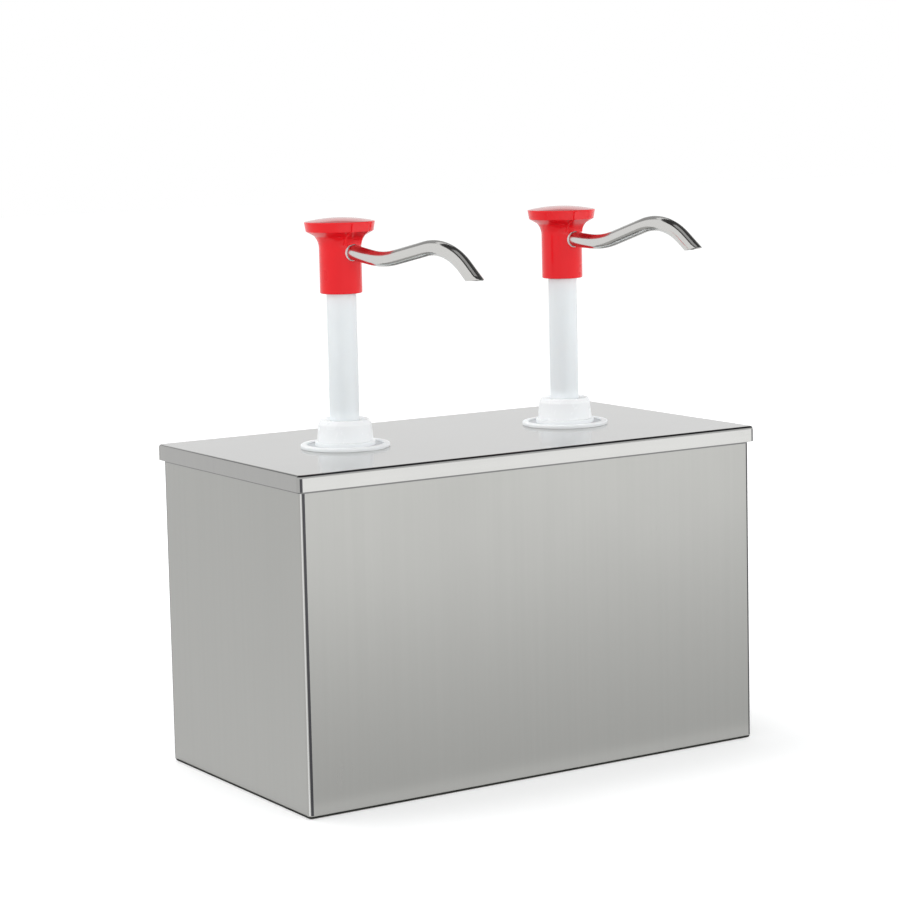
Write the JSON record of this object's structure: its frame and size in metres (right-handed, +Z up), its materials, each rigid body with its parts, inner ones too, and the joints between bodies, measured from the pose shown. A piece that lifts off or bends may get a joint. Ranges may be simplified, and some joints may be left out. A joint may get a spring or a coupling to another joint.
{
  "type": "fructose dispenser",
  "caption": "Countertop syrup station: steel box with a lift-off lid that carries spring-return push pumps with red heads and bent steel spouts.",
  "frame": {"origin": "middle of the housing's flat underside, where the station stands on its counter", "axes": "+Z up; +X along the long front towards the right pump; -Y towards the user, the way the spouts point"},
  "size_m": [0.376, 0.2543, 0.3898],
  "materials": {
    "housing_sheet": "brushed",
    "lid_sheet": "brushed",
    "pan_sheet": "satin",
    "flange_plastic": "gloss",
    "white_plastic": "gloss",
    "stem_plastic": "satin",
    "natural_plastic": "matte",
    "hose_plastic": "satin",
    "seal_rubber": "matte",
    "spout_seal_silicone": "satin",
    "ball_steel": "polished",
    "spring_steel": "bright",
    "red_plastic": "gloss",
    "spout_steel": "polished"
  },
  "bodies": {
    "housing": {"housing": "housing_sheet", "left_pan": "pan_sheet", "right_pan": "pan_sheet"},
    "lid": {"lid": "lid_sheet", "left_barrel": "flange_plastic", "left_gasket": "seal_rubber", "left_lock_nut": "natural_plastic", "left_collar": "white_plastic", "left_stem_seal": "seal_rubber", "left_gland_bush": "natural_plastic", "left_inlet_cage": "natural_plastic", "left_suction_tube": "hose_plastic", "right_barrel": "flange_plastic", "right_gasket": "seal_rubber", "right_lock_nut": "natural_plastic", "right_collar": "white_plastic", "right_stem_seal": "seal_rubber", "right_gland_bush": "natural_plastic", "right_inlet_cage": "natural_plastic", "right_suction_tube": "hose_plastic"},
    "left_spring_set": {"left_spring": "spring_steel", "left_spring_washer": "natural_plastic"},
    "left_plunger": {"left_piston": "natural_plastic", "left_piston_ring": "seal_rubber", "left_outlet_cage": "natural_plastic", "left_stem": "stem_plastic", "left_head": "red_plastic", "left_spout": "spout_steel", "left_spout_seal": "spout_seal_silicone"},
    "left_inlet_ball": {"left_inlet_ball": "ball_steel"},
    "left_outlet_ball": {"left_outlet_ball": "ball_steel"},
    "right_spring_set": {"right_spring": "spring_steel", "right_spring_washer": "natural_plastic"},
    "right_plunger": {"right_piston": "natural_plastic", "right_piston_ring": "seal_rubber", "right_outlet_cage": "natural_plastic", "right_stem": "stem_plastic", "right_head": "red_plastic", "right_spout": "spout_steel", "right_spout_seal": "spout_seal_silicone"},
    "right_inlet_ball": {"right_inlet_ball": "ball_steel"},
    "right_outlet_ball": {"right_outlet_ball": "ball_steel"}
  },
  "joints": [
    {"name": "lid_lift", "type": "slide", "parent": "housing", "child": "lid", "axis": [0, 0, 1], "range_m": [0, 0.25]},
    {"name": "left_swivel", "type": "hinge", "parent": "lid", "child": "left_spring_set", "pos_m": [-0.093, 0, 0.23], "axis": [0, 0, 1], "continuous": true},
    {"name": "left_press", "type": "slide", "parent": "left_spring_set", "child": "left_plunger", "axis": [0, 0, -1], "range_m": [0, 0.0865], "stiffness_N_per_m": 140, "springref_m": -0.06, "deforming": ["left_spring"]},
    {"name": "left_inlet_ball_lift", "type": "slide", "parent": "lid", "child": "left_inlet_ball", "axis": [0, 0, 1], "range_m": [0, 0.003]},
    {"name": "left_outlet_ball_lift", "type": "slide", "parent": "left_plunger", "child": "left_outlet_ball", "axis": [0, 0, 1], "range_m": [0, 0.003]},
    {"name": "right_swivel", "type": "hinge", "parent": "lid", "child": "right_spring_set", "pos_m": [0.093, 0, 0.23], "axis": [0, 0, 1], "continuous": true},
    {"name": "right_press", "type": "slide", "parent": "right_spring_set", "child": "right_plunger", "axis": [0, 0, -1], "range_m": [0, 0.0865], "stiffness_N_per_m": 140, "springref_m": -0.06, "deforming": ["right_spring"]},
    {"name": "right_inlet_ball_lift", "type": "slide", "parent": "lid", "child": "right_inlet_ball", "axis": [0, 0, 1], "range_m": [0, 0.003]},
    {"name": "right_outlet_ball_lift", "type": "slide", "parent": "right_plunger", "child": "right_outlet_ball", "axis": [0, 0, 1], "range_m": [0, 0.003]}
  ]
}
